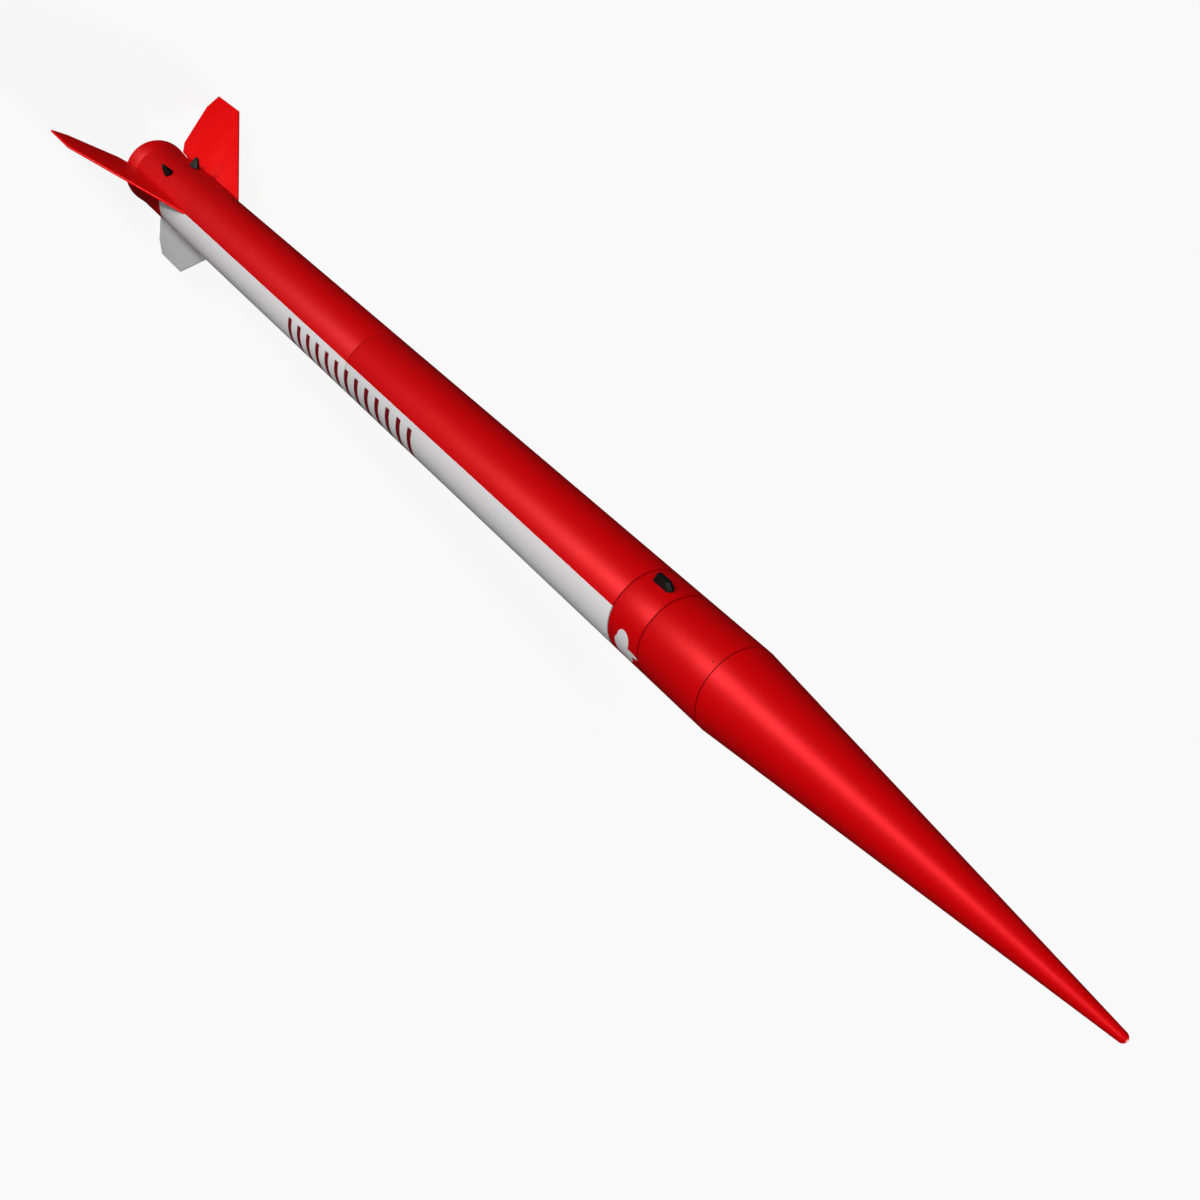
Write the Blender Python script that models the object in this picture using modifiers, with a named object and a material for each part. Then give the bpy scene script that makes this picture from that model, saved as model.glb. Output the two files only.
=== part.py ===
"""Model rocket: a red card-tube sounding rocket with a white fin, standing upright on its three fin feet.

Metres, +Z towards the nose. The floor is z = 0, under the three fin feet. The origin is the middle of the
footprint's box, so the body axis stands AXIS_Y away from it. Heights in the profiles are measured from the
plane that each group is parented to: the tail end, the payload seam or the nose seam.
"""

import math

import bpy
from mathutils import Matrix

# Driving dimensions.
BODY_DIAMETER = 0.0416
TUBE_BORE = 0.0405
FIT_GAP = 0.0003
SLIDE_GAP = 0.00015
SEGMENTS = 48

# Stations along the body, from the tail end.
FLARE_TOP = 0.363 * BODY_DIAMETER
MIDDLE_SEAM = 8.20 * BODY_DIAMETER
RING_SEAM = 14.404 * BODY_DIAMETER
PAYLOAD_SEAM = 14.938 * BODY_DIAMETER
NOSE_SEAM = 15.932 * BODY_DIAMETER
NOSE_TIP = 20.84 * BODY_DIAMETER
FOOT_DROP = 0.516 * BODY_DIAMETER

# Skins.
BODY_RADIUS = BODY_DIAMETER / 2
BORE_RADIUS = TUBE_BORE / 2
SHOULDER_RADIUS = BORE_RADIUS - FIT_GAP
FLARE_RADIUS = 0.5266 * BODY_DIAMETER
FLARE_RIM = 0.0006
PLASTIC_WALL = 0.0012
NOSE_WALL = 0.0016
TIP_RADIUS = 0.05 * BODY_DIAMETER

# Fins: three flat plates with a tab that reaches the motor tube through a slot.
FIN_THICKNESS = 0.0016
FIN_ROOT_REAR = 0.12 * BODY_DIAMETER
FIN_ROOT_FRONT = 2.507 * BODY_DIAMETER
FIN_KINK_RADIUS = 0.66 * BODY_DIAMETER
FIN_KINK_DROP = 0.093 * BODY_DIAMETER
FIN_FOOT_INNER = 1.37 * BODY_DIAMETER
FIN_TIP_RADIUS = 1.651 * BODY_DIAMETER
FIN_TIP_TOP = 0.342 * BODY_DIAMETER
FIN_TAB = (0.030, 0.070)
SLOT_GAP = 0.0004
FIN_ANGLES = {"fin_left": -30, "fin_right": -150, "fin_white": 90}

# Motor mount for a 24 mm motor.
MOTOR_LENGTH = 0.070
MOTOR_RADIUS = 0.0119
MOTOR_OVERHANG = 0.006
MOTOR_TUBE_INNER = MOTOR_RADIUS + SLIDE_GAP
MOTOR_TUBE_OUTER = 0.0125
MOTOR_TUBE_SPAN = (0.001, 0.0785)
THRUST_RING_INNER = 0.0095
THRUST_RING_LENGTH = 0.006
RING_THICKNESS = 0.003
RING_HEIGHTS = {"centering_ring_aft": 0.003, "centering_ring_middle": 0.0255, "centering_ring_front": 0.072}

# Motor fill, with heights from the motor's rear face.
CASING_INNER = 0.0098
NOZZLE_SPAN = (0.0008, 0.0110)
NOZZLE_MOUTH = 0.0042
THROAT_RADIUS = 0.0017
THROAT_HEIGHT = 0.006
GRAIN_SPAN = (0.0113, 0.0430)
CORE_TOP = 0.018
CORE_TOP_RADIUS = 0.0008
DELAY_SPAN = (0.0433, 0.0560)
CHARGE_SPAN = (0.0563, 0.0645)
END_CAP_SPAN = (0.0648, 0.0672)

# Couplers and shoulders.
SKIRT_SHOULDER = 0.008
COUPLER_HALF_LENGTH = 0.028
RING_SHOULDER = 0.030
LUG_RING_BORE = 0.0189
PAYLOAD_SHOULDER_RADIUS = LUG_RING_BORE - SLIDE_GAP
PAYLOAD_SHOULDER = 0.042
PAYLOAD_FLANGE = 0.006
NOSE_SHOULDER = 0.020
BULKHEAD_THICKNESS = 0.0032
BULKHEAD_INSET = 0.001

# Launch lugs: one in front, two at the rear.
FRONT_LUG = {"from": 14.51, "to": 14.83, "half_width": 0.055, "height": 0.087, "point": 0.04, "draft": 0.65}
REAR_LUG = {"from": 1.215, "to": 1.435, "half_width": 0.070, "height": 0.155, "point": 0.05, "draft": 0.3}
REAR_LUG_SPREAD = 25

# Recovery gear.
WADDING_SPAN = (0.150, 0.182)
WADDING_RADIUS = SHOULDER_RADIUS - 0.0008
CHUTE_SPAN = (0.400, 0.520)
CHUTE_RADIUS = 0.0135
CHUTE_ROUNDING = 0.004
CORD_MOUNT_SPAN = (0.372, 0.396)
CORD_MOUNT_THICKNESS = 0.0009
CORD_MOUNT_WIDTH = 0.015
CORD_RADIUS = 0.0011
CORD_INSET = 0.0042
SWIVEL_HEIGHT = 0.5285
SWIVEL_LENGTH = 0.0044
SWIVEL_RADIUS = 0.0020
SWIVEL_END_RADIUS = 0.0012
SWIVEL_BORE = 0.0007
CLIP_WIRE = 0.0004
CLIP_HALF_WIDTH = 0.0019
CLIP_HALF_LENGTH = 0.0028
CLIP_CENTRE = -0.0036
EYE_RADIUS = 0.0034
EYE_WIRE = 0.0010
NUT_RADIUS = 0.0030
NUT_HEIGHT = 0.0020

# The nose's clay weight.
WEIGHT_LENGTH = 0.045
WEIGHT_DEPTH = 0.004

# The rear pair of fins reaches less far along Y than the single one, so the axis is off the footprint's middle.
PAIR_REACH = FIN_TIP_RADIUS * math.sin(math.radians(30)) + FIN_THICKNESS / 2 * math.cos(math.radians(30))
AXIS_Y = (PAIR_REACH - FIN_TIP_RADIUS) / 2

RED = (0.62, 0.0, 0.004)
WHITE = (0.72, 0.72, 0.72)
BLACK = (0.006, 0.006, 0.007)
CARD = (0.42, 0.27, 0.15)
PLY = (0.60, 0.43, 0.25)
PAPER = (0.75, 0.72, 0.65)
TISSUE = (0.80, 0.80, 0.76)
FILM = (0.85, 0.25, 0.04)
ELASTIC = (0.78, 0.76, 0.70)
CASING = (0.55, 0.36, 0.20)
CLAY = (0.48, 0.44, 0.40)
POWDER = (0.06, 0.06, 0.06)
DELAY = (0.20, 0.19, 0.17)
BALLAST = (0.30, 0.29, 0.27)
STEEL = (0.55, 0.55, 0.56)
BRASS = (0.72, 0.55, 0.22)


def clear_scene():
    for obj in list(bpy.data.objects):
        bpy.data.objects.remove(obj, do_unlink=True)
    for collection in list(bpy.data.collections):
        bpy.data.collections.remove(collection)


def new_collection(name):
    collection = bpy.data.collections.new(name)
    bpy.context.scene.collection.children.link(collection)
    return collection


clear_scene()
PARTS = new_collection("model_rocket")
CUTTERS = new_collection("cutters")


def material(name, colour, roughness=0.5, metallic=0.0):
    made = bpy.data.materials.new(name)
    made.use_nodes = True
    shader = made.node_tree.nodes["Principled BSDF"]
    shader.inputs["Base Color"].default_value = (*colour, 1.0)
    shader.inputs["Roughness"].default_value = roughness
    shader.inputs["Metallic"].default_value = metallic
    made.diffuse_color = (*colour, 1.0)
    return made


def empty(name, parent=None, location=(0, 0, 0)):
    made = bpy.data.objects.new(name, None)
    made.location = location
    made.parent = parent
    PARTS.objects.link(made)
    return made


def place(obj, parent, look, location=(0, 0, 0), rotation=(0, 0, 0)):
    """Links the object to the parts, under its parent, with a material of its own."""
    PARTS.objects.link(obj)
    obj.parent = parent
    obj.location = location
    obj.rotation_euler = rotation
    obj.data.materials.clear()
    obj.data.materials.append(material(obj.name, *look))
    return obj


def outline_mesh(name, points, closed):
    """Edges through (radius, height) points in the XZ plane."""
    mesh = bpy.data.meshes.new(name)
    count = len(points)
    edges = [(i, i + 1) for i in range(count - 1)]
    if closed:
        edges.append((count - 1, 0))
    mesh.from_pydata([(radius, 0, height) for radius, height in points], edges, [])
    return mesh


def turned(name, profile, parent, look, closed=True):
    """A body of revolution: the profile runs down the outer side and, when closed, back up the inner side."""
    obj = bpy.data.objects.new(name, outline_mesh(name, profile, closed))
    screw = obj.modifiers.new("turn", "SCREW")
    screw.steps = SEGMENTS
    screw.render_steps = SEGMENTS
    screw.use_merge_vertices = True
    screw.merge_threshold = 0.00001
    return place(obj, parent, look)


def tube(name, outer, inner, low, high, parent, look):
    return turned(name, [(outer, high), (outer, low), (inner, low), (inner, high)], parent, look)


def disc(name, radius, low, high, parent, look):
    return turned(name, [(0, high), (radius, high), (radius, low), (0, low)], parent, look, closed=False)


def box_cutter(name, size, location, turn):
    bpy.ops.mesh.primitive_cube_add(size=1)
    cutter = bpy.context.object
    cutter.name = name
    cutter.data.transform(Matrix.Translation(location) @ Matrix.Diagonal((*size, 1)))
    cutter.rotation_euler = (0, 0, math.radians(turn))
    for collection in list(cutter.users_collection):
        collection.objects.unlink(cutter)
    CUTTERS.objects.link(cutter)
    cutter.hide_render = True
    cutter.display_type = "WIRE"
    return cutter


def cut(obj, cutter, operation="DIFFERENCE"):
    cutter.parent = obj.parent
    boolean = obj.modifiers.new(cutter.name, "BOOLEAN")
    boolean.operation = operation
    boolean.solver = "EXACT"
    boolean.object = cutter


def plate(name, outline, thickness, parent, look, turn):
    """A flat plate standing on edge: its outline is (distance from the axis, height)."""
    curve = bpy.data.curves.new(name, "CURVE")
    curve.dimensions = "2D"
    curve.fill_mode = "BOTH"
    curve.extrude = thickness / 2
    spline = curve.splines.new("POLY")
    spline.points.add(len(outline) - 1)
    for point, (radius, height) in zip(spline.points, outline):
        point.co = (radius, height, 0, 1)
    spline.use_cyclic_u = True
    obj = bpy.data.objects.new(name, curve)
    return place(obj, parent, look, rotation=(math.pi / 2, 0, math.radians(turn)))


def wire(name, points, radius, parent, look):
    """A round wire or cord along a list of points."""
    curve = bpy.data.curves.new(name, "CURVE")
    curve.dimensions = "3D"
    curve.bevel_depth = radius
    curve.bevel_resolution = 2
    curve.use_fill_caps = True
    spline = curve.splines.new("POLY")
    spline.points.add(len(points) - 1)
    for point, place_at in zip(spline.points, points):
        point.co = (*place_at, 1)
    return place(bpy.data.objects.new(name, curve), parent, look)


def smooth_route(points, steps):
    """Points on a Catmull-Rom curve through the given ones."""
    padded = [points[0], *points, points[-1]]
    route = []
    for i in range(1, len(padded) - 2):
        before, start, end, after = padded[i - 1 : i + 3]
        for step in range(steps):
            t = step / steps
            route.append(
                tuple(
                    0.5
                    * (
                        2 * s
                        + (e - b) * t
                        + (2 * b - 5 * s + 4 * e - a) * t * t
                        + (3 * s - b - 3 * e + a) * t ** 3
                    )
                    for b, s, e, a in zip(before, start, end, after)
                )
            )
    route.append(points[-1])
    return route


def arc(centre_radius, centre_height, radius, start, end, steps):
    """Profile points on an arc, with angles in degrees from the outward direction."""
    angles = [math.radians(start + (end - start) * i / steps) for i in range(steps + 1)]
    return [(centre_radius + radius * math.cos(a), centre_height + radius * math.sin(a)) for a in angles]


def body_tubes(tail):
    paint = (RED, 0.25)
    half_gap = FIT_GAP / 2
    lower = tube("lower_body_tube", BODY_RADIUS, BORE_RADIUS, FLARE_TOP + half_gap, MIDDLE_SEAM - half_gap, tail, paint)
    slot_height = FIN_TAB[1] - FIN_TAB[0] + 2 * SLOT_GAP
    slot_size = (0.008, FIN_THICKNESS + 2 * SLOT_GAP, slot_height)
    slot_place = (BODY_RADIUS, 0, (FIN_TAB[0] + FIN_TAB[1]) / 2)
    for fin, angle in FIN_ANGLES.items():
        cut(lower, box_cutter(fin + "_slot", slot_size, slot_place, angle))
    tube("upper_body_tube", BODY_RADIUS, BORE_RADIUS, MIDDLE_SEAM + half_gap, RING_SEAM - half_gap, tail, paint)
    tube(
        "body_coupler",
        SHOULDER_RADIUS,
        SHOULDER_RADIUS - PLASTIC_WALL,
        MIDDLE_SEAM - COUPLER_HALF_LENGTH,
        MIDDLE_SEAM + COUPLER_HALF_LENGTH,
        tail,
        (CARD, 0.8),
    )


def tail_skirt(tail):
    """The flared plastic skirt at the tail, with a shoulder up inside the lower tube."""
    top = FLARE_TOP - FIT_GAP / 2
    inner = SHOULDER_RADIUS - PLASTIC_WALL
    turned(
        "tail_skirt",
        [
            (SHOULDER_RADIUS, top + SKIRT_SHOULDER),
            (SHOULDER_RADIUS, top),
            (BODY_RADIUS, top),
            (FLARE_RADIUS, FLARE_RIM),
            (FLARE_RADIUS - FLARE_RIM, 0),
            (inner, 0),
            (inner, top + SKIRT_SHOULDER),
        ],
        tail,
        (RED, 0.25),
    )


def lug_ring(tail):
    """The short ring that carries the front lug, with a shoulder down inside the upper tube."""
    low = RING_SEAM + FIT_GAP / 2
    high = PAYLOAD_SEAM - FIT_GAP / 2
    turned(
        "lug_ring",
        [
            (BODY_RADIUS, high),
            (BODY_RADIUS, low),
            (SHOULDER_RADIUS, low),
            (SHOULDER_RADIUS, RING_SEAM - RING_SHOULDER),
            (LUG_RING_BORE, RING_SEAM - RING_SHOULDER),
            (LUG_RING_BORE, high),
        ],
        tail,
        (RED, 0.25),
    )


def fins(tail):
    """Root edge, tab, then the outline that steps down to a flat foot and sweeps up to the leading edge."""
    flare_slope = (FLARE_RADIUS - BODY_RADIUS) / FLARE_TOP
    rear_root = FLARE_RADIUS - flare_slope * FIN_ROOT_REAR + FIT_GAP
    root = BODY_RADIUS + FIT_GAP
    tab_inner = MOTOR_TUBE_OUTER + FIT_GAP
    outline = [
        (root, FIN_ROOT_FRONT),
        (root, FIN_TAB[1]),
        (tab_inner, FIN_TAB[1]),
        (tab_inner, FIN_TAB[0]),
        (root, FIN_TAB[0]),
        (root, FLARE_TOP + FIT_GAP),
        (rear_root, FIN_ROOT_REAR),
        (FIN_KINK_RADIUS, -FIN_KINK_DROP),
        (FIN_FOOT_INNER, -FOOT_DROP),
        (FIN_TIP_RADIUS, -FOOT_DROP),
        (FIN_TIP_RADIUS, FIN_TIP_TOP),
    ]
    for name, angle in FIN_ANGLES.items():
        colour = WHITE if name == "fin_white" else RED
        plate(name, outline, FIN_THICKNESS, tail, (colour, 0.3), angle)


def lug(name, shape, angle, tail):
    """A drafted block with pointed ends that sits on the skin and points along the body."""
    low = shape["from"] * BODY_DIAMETER
    high = shape["to"] * BODY_DIAMETER
    width = shape["half_width"] * BODY_DIAMETER
    point = shape["point"] * BODY_DIAMETER
    half = (high - low) / 2
    curve = bpy.data.curves.new(name, "CURVE")
    curve.dimensions = "2D"
    curve.fill_mode = "BOTH"
    curve.extrude = shape["height"] * BODY_DIAMETER / 2
    spline = curve.splines.new("POLY")
    outline = [(0, -half), (width, point - half), (width, half - point)]
    outline += [(-across, -along) for across, along in outline]
    spline.points.add(len(outline) - 1)
    for vertex, (across, along) in zip(spline.points, outline):
        vertex.co = (across, along, 0, 1)
    spline.use_cyclic_u = True
    guide = bpy.data.objects.new(name + "_outline", curve)
    CUTTERS.objects.link(guide)
    mesh = bpy.data.meshes.new_from_object(guide.evaluated_get(bpy.context.evaluated_depsgraph_get()))
    bpy.data.objects.remove(guide, do_unlink=True)
    for vertex in mesh.vertices:
        if vertex.co.z > 0:
            vertex.co.x *= shape["draft"]
            vertex.co.y *= shape["draft"]
    mesh.name = name
    obj = bpy.data.objects.new(name, mesh)
    weld = obj.modifiers.new("weld", "WELD")
    weld.merge_threshold = 0.00001
    turn = math.radians(angle)
    reach = BODY_RADIUS + FIT_GAP + shape["height"] * BODY_DIAMETER / 2
    location = (reach * math.cos(turn), reach * math.sin(turn), (low + high) / 2)
    return place(obj, tail, (BLACK, 0.5), location, (math.pi / 2, 0, turn + math.pi / 2))


def motor_mount(tail):
    tube("motor_tube", MOTOR_TUBE_OUTER, MOTOR_TUBE_INNER, *MOTOR_TUBE_SPAN, tail, (CARD, 0.8))
    inner = MOTOR_TUBE_OUTER + FIT_GAP
    for name, low in RING_HEIGHTS.items():
        outer = SHOULDER_RADIUS
        if name == "centering_ring_aft":
            outer -= PLASTIC_WALL + FIT_GAP
        tube(name, outer, inner, low, low + RING_THICKNESS, tail, (PLY, 0.7))
    low = MOTOR_LENGTH - MOTOR_OVERHANG + FIT_GAP
    tube("thrust_ring", MOTOR_RADIUS, THRUST_RING_INNER, low, low + THRUST_RING_LENGTH, tail, (CARD, 0.8))


def motor(axis):
    """The motor's rear face is its zero height."""
    fill = CASING_INNER - SLIDE_GAP
    tube("motor_casing", MOTOR_RADIUS, CASING_INNER, 0, MOTOR_LENGTH, axis, (CASING, 0.7))
    low, high = NOZZLE_SPAN
    nozzle = [(fill, high), (fill, low), (NOZZLE_MOUTH, low), (THROAT_RADIUS, THROAT_HEIGHT), (THROAT_RADIUS, high)]
    turned("motor_nozzle", nozzle, axis, (CLAY, 0.9))
    low, high = GRAIN_SPAN
    grain = [(0, high), (fill, high), (fill, low), (THROAT_RADIUS, low), (CORE_TOP_RADIUS, CORE_TOP), (0, CORE_TOP)]
    turned("propellant_grain", grain, axis, (POWDER, 0.9), closed=False)
    disc("delay_grain", fill, *DELAY_SPAN, axis, (DELAY, 0.9))
    disc("ejection_charge", fill, *CHARGE_SPAN, axis, (POWDER, 0.9))
    disc("motor_end_cap", fill, *END_CAP_SPAN, axis, (CLAY, 0.9))


def shock_cord_mount(tail):
    """A folded paper tab glued to the tube's inner wall: a box kept only where it lies against the wall."""
    low, high = CORD_MOUNT_SPAN
    mount = tube(
        "shock_cord_mount", SHOULDER_RADIUS, SHOULDER_RADIUS - CORD_MOUNT_THICKNESS, low, high, tail, (PAPER, 0.9)
    )
    size = (BODY_RADIUS, CORD_MOUNT_WIDTH, 2 * (high - low))
    keep = box_cutter("cord_mount_outline", size, (SHOULDER_RADIUS, 0, (low + high) / 2), 0)
    cut(mount, keep, "INTERSECT")


def recovery_gear(tail):
    disc("recovery_wadding", WADDING_RADIUS, *WADDING_SPAN, tail, (TISSUE, 0.95))
    low, high = CHUTE_SPAN
    shoulder = CHUTE_RADIUS - CHUTE_ROUNDING
    profile = [(0, high)]
    profile += arc(shoulder, high - CHUTE_ROUNDING, CHUTE_ROUNDING, 90, 0, 4)
    profile += arc(shoulder, low + CHUTE_ROUNDING, CHUTE_ROUNDING, 0, -90, 4)
    profile += [(0, low)]
    turned("parachute", profile, tail, (FILM, 0.8), closed=False)
    shock_cord_mount(tail)


def shock_cord(tail):
    """The elastic cord wanders up the wall beside the parachute and turns in to the screw eye."""
    wall = BORE_RADIUS - CORD_INSET
    top = PAYLOAD_SEAM - PAYLOAD_SHOULDER - 0.0078
    route = [
        (wall, 0.0, CORD_MOUNT_SPAN[1] + 0.0006),
        (wall, 0.0008, 0.408),
        (wall, -0.0010, 0.430),
        (wall - 0.0002, 0.0016, 0.455),
        (wall, -0.0014, 0.490),
        (wall - 0.0004, 0.0010, 0.520),
        (wall - 0.0040, 0.0006, 0.545),
        (wall - 0.0085, 0.0004, top - 0.012),
        (0.0042, 0.0, top),
    ]
    wire("shock_cord", smooth_route(route, 6), CORD_RADIUS, tail, (ELASTIC, 0.9))


def swivel(axis):
    """The barrel hangs on the shock cord, and the clip with the parachute's lines turns in it."""
    chamfer = SWIVEL_RADIUS - SWIVEL_END_RADIUS
    barrel = [
        (SWIVEL_END_RADIUS, SWIVEL_LENGTH),
        (SWIVEL_RADIUS, SWIVEL_LENGTH - chamfer),
        (SWIVEL_RADIUS, chamfer),
        (SWIVEL_END_RADIUS, 0),
        (SWIVEL_BORE, 0),
        (SWIVEL_BORE, SWIVEL_LENGTH),
    ]
    turned("swivel_barrel", barrel, axis, (BRASS, 0.3, 1.0))
    pin = empty("swivel_axis", axis)
    loop = [(0, 0, SWIVEL_LENGTH / 3), (0, 0, CLIP_CENTRE + CLIP_HALF_LENGTH)]
    for turn in range(20, 341, 20):
        angle = math.radians(turn)
        loop.append((CLIP_HALF_WIDTH * math.sin(angle), 0, CLIP_CENTRE + CLIP_HALF_LENGTH * math.cos(angle)))
    wire("swivel_clip", loop, CLIP_WIRE, pin, (BRASS, 0.3, 1.0))


def payload_section(axis):
    """Zero height is the seam that the section parts at."""
    paint = (RED, 0.25)
    half_gap = FIT_GAP / 2
    length = NOSE_SEAM - PAYLOAD_SEAM
    tube("payload_tube", BODY_RADIUS, BORE_RADIUS, half_gap, length - half_gap, axis, paint)
    inner = PAYLOAD_SHOULDER_RADIUS - PLASTIC_WALL
    turned(
        "payload_shoulder",
        [
            (SHOULDER_RADIUS, half_gap + PAYLOAD_FLANGE),
            (SHOULDER_RADIUS, half_gap),
            (PAYLOAD_SHOULDER_RADIUS, half_gap),
            (PAYLOAD_SHOULDER_RADIUS, -PAYLOAD_SHOULDER),
            (inner, -PAYLOAD_SHOULDER),
            (inner, half_gap + PAYLOAD_FLANGE),
        ],
        axis,
        (BLACK, 0.5),
    )
    shank = EYE_WIRE + FIT_GAP
    low = BULKHEAD_INSET - PAYLOAD_SHOULDER
    tube("payload_bulkhead", inner - FIT_GAP, shank, low, low + BULKHEAD_THICKNESS, axis, (PLY, 0.7))
    washer = low + BULKHEAD_THICKNESS + FIT_GAP
    tube("eye_nut", NUT_RADIUS, shank, washer, washer + NUT_HEIGHT, axis, (STEEL, 0.3, 1.0))
    eye_centre = low - EYE_RADIUS - 2 * EYE_WIRE
    shank_points = [(0, 0, washer + 1.75 * NUT_HEIGHT), (0, 0, low - EYE_WIRE)]
    turns = [
        (EYE_RADIUS * math.sin(math.radians(a)), 0, eye_centre + EYE_RADIUS * math.cos(math.radians(a)))
        for a in range(20, 341, 20)
    ]
    wire("screw_eye", shank_points + turns, EYE_WIRE, axis, (STEEL, 0.3, 1.0))


def nose_section(axis):
    """Zero height is the seam between the nose cone and the payload tube."""
    tip = NOSE_TIP - NOSE_SEAM
    centre = tip - TIP_RADIUS
    span = math.hypot(BODY_RADIUS, centre)
    half_angle = math.degrees(math.atan2(BODY_RADIUS, centre) - math.asin(TIP_RADIUS / span))
    inner = SHOULDER_RADIUS - NOSE_WALL
    inner_tip = TIP_RADIUS * 0.6
    hollow_top = centre - (NOSE_WALL + inner_tip - TIP_RADIUS) / math.sin(math.radians(half_angle))
    low = FIT_GAP / 2
    profile = [(0, tip)]
    profile += arc(0, centre, TIP_RADIUS, 82, half_angle, 6)
    profile += [(BODY_RADIUS, low), (SHOULDER_RADIUS, low), (SHOULDER_RADIUS, -NOSE_SHOULDER)]
    profile += [(inner, -NOSE_SHOULDER), (inner, low)]
    profile += arc(0, hollow_top, inner_tip, half_angle, 82, 4)
    profile += [(0, hollow_top + inner_tip)]
    turned("nose_cone", profile, axis, (RED, 0.25), closed=False)

    slope = math.tan(math.radians(half_angle))
    weight_top = hollow_top - WEIGHT_DEPTH
    weight_low = weight_top - WEIGHT_LENGTH
    top_radius = inner_tip + WEIGHT_DEPTH * slope - FIT_GAP
    low_radius = top_radius + WEIGHT_LENGTH * slope
    weight = [(0, weight_top), (top_radius, weight_top), (low_radius, weight_low), (0, weight_low)]
    turned("nose_weight", weight, axis, (BALLAST, 0.9), closed=False)


def build():
    tail = empty("tail_plane", location=(0, AXIS_Y, FOOT_DROP))
    body_tubes(tail)
    tail_skirt(tail)
    lug_ring(tail)
    fins(tail)
    lug("front_lug", FRONT_LUG, -90, tail)
    lug("rear_lug_left", REAR_LUG, REAR_LUG_SPREAD - 90, tail)
    lug("rear_lug_right", REAR_LUG, -REAR_LUG_SPREAD - 90, tail)
    motor_mount(tail)
    recovery_gear(tail)
    shock_cord(tail)
    motor(empty("motor_plane", tail, (0, 0, -MOTOR_OVERHANG)))
    swivel(empty("swivel_plane", tail, (0, 0, SWIVEL_HEIGHT)))
    payload_section(empty("payload_plane", tail, (0, 0, PAYLOAD_SEAM)))
    nose_section(empty("nose_plane", tail, (0, 0, NOSE_SEAM)))


build()
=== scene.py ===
"""The looks of the model rocket: turned skins, rounded fins, paint, card, plywood and a rolled canopy."""

import math
import random

import bmesh
import bpy
from mathutils import Matrix, Vector


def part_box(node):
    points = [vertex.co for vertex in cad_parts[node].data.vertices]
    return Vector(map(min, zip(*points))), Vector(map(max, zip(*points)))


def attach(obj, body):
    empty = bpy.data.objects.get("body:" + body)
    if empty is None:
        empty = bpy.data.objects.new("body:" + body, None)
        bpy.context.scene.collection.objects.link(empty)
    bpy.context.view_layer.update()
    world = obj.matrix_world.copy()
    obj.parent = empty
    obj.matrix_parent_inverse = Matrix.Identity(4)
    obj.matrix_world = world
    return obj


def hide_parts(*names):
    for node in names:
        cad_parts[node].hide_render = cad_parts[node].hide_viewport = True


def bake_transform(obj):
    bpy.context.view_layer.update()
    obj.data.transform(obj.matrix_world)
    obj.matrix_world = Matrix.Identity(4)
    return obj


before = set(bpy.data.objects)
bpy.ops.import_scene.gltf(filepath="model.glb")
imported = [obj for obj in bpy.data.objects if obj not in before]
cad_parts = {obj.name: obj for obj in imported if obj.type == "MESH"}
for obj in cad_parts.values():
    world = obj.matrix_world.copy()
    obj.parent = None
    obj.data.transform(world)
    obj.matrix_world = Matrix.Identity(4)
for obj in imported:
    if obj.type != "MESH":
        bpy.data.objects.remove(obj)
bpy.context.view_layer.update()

# The frame's own measures: the body axis, the radius and the planes where the sections meet.
upper_low, upper_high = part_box("upper_body_tube")
lower_low, lower_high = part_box("lower_body_tube")
skirt_low, skirt_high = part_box("tail_skirt")
ring_low, ring_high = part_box("lug_ring")
payload_low, payload_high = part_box("payload_tube")
nose_low, nose_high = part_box("nose_cone")
AXIS = Vector(((upper_low.x + upper_high.x) / 2, (upper_low.y + upper_high.y) / 2, 0))
RADIUS = (upper_high.x - upper_low.x) / 2
DIAMETER = 2 * RADIUS
TAIL = skirt_low.z
FLARE_TOP = lower_low.z
MIDDLE_SEAM = lower_high.z
RING_SEAM = upper_high.z
PAYLOAD_SEAM = ring_high.z
NOSE_SEAM = payload_high.z
NOSE_TIP = nose_high.z
GAP = upper_low.z - lower_high.z

# Walls, bores and clearances, which the boxes don't show.
TUBE_WALL = 0.00055
PLASTIC_WALL = 0.0012
NOSE_WALL = 0.0016
RING_BORE = 0.0189
MOTOR_TUBE_OUTER = 0.0125
MOTOR_TUBE_BORE = 0.01205
THRUST_RING_BORE = 0.0095
CASING_BORE = 0.0098
NOZZLE_THROAT = 0.0017
CLEARANCE = 0.00015
PLASTIC_EDGE = 0.00015
SHOULDER = RADIUS - TUBE_WALL - GAP
FLARE = (skirt_high.x - skirt_low.x) / 2

# Steps round a turned piece: the skins, then the small pieces inside.
STEPS = 160
SMALL_STEPS = 96


def station(diameters):
    """A height given in body diameters from the tail end."""
    return TAIL + diameters * DIAMETER


# ---------------------------------------------------------------- shaders


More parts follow.
